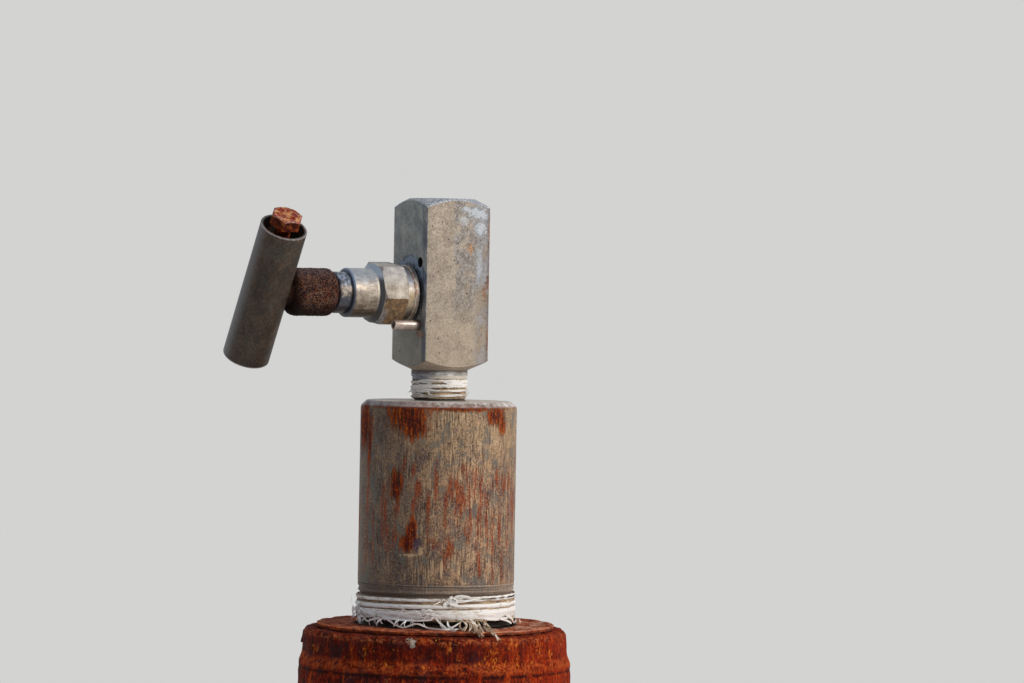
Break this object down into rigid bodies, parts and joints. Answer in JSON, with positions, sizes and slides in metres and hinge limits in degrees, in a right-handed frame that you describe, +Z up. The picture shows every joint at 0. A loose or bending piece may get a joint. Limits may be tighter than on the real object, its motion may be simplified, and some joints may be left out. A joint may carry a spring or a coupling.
{
  "type": "oil wellhead valve stack",
  "caption": "Small wellhead stack: casing pipe and coupling, flush bushing, tapped bull plug and a side-stem needle valve whose tube T-handle turns.",
  "frame": {"origin": "on the casing's axis at ground level", "axes": "+Z up the stack, the valve's stem along -X, the front face towards -Y"},
  "size_m": [0.1366, 0.1052, 0.4377],
  "materials": {
    "rusted_pipe": "rusted",
    "rusted_coupling": "rusted",
    "rusted_bushing": "rusted",
    "plug_steel": "weathered, rust streaks",
    "thread_tape": "stained",
    "plated_body": "weathered zinc",
    "plated_bonnet": "satin zinc, rust below",
    "gasket": "matt",
    "bright_steel": "bright",
    "packing": "matt",
    "gland_steel": "dull",
    "rusted_hub": "granular rust",
    "galvanised_tube": "dull galvanised",
    "rusted_bolt": "rusted"
  },
  "bodies": {
    "stack": {"casing_pipe": "rusted_pipe", "casing_coupling": "rusted_coupling", "reducing_bushing": "rusted_bushing", "bull_plug": "plug_steel", "plug_tape": "thread_tape", "neck_tape": "thread_tape", "valve_body": "plated_body", "bonnet": "plated_bonnet", "bonnet_washer": "plated_bonnet", "bonnet_gasket": "gasket", "lock_pin": "bright_steel", "packing_washer": "bright_steel", "packing_ring_1": "packing", "packing_ring_2": "packing", "packing_ring_3": "packing", "packing_gland": "gland_steel"},
    "needle": {"needle_tip": "bright_steel"},
    "spindle": {"stem": "bright_steel", "handle_hub": "rusted_hub", "handle_tube": "galvanised_tube", "handle_bolt": "rusted_bolt", "handle_nut": "rusted_bolt"}
  },
  "joints": [
    {"name": "stem_travel", "type": "slide", "parent": "stack", "child": "needle", "axis": [-1, 0, 0], "range_m": [0, 0.00382]},
    {"name": "stem_turn", "type": "hinge", "parent": "needle", "child": "spindle", "pos_m": [-0.075, 0, 0.401], "axis": [-1, 0, 0], "range_deg": [0, 1080]}
  ],
  "couplings": [
    {"joint": "stem_travel", "follows": "stem_turn", "m_per_rad": 0.00020213}
  ]
}
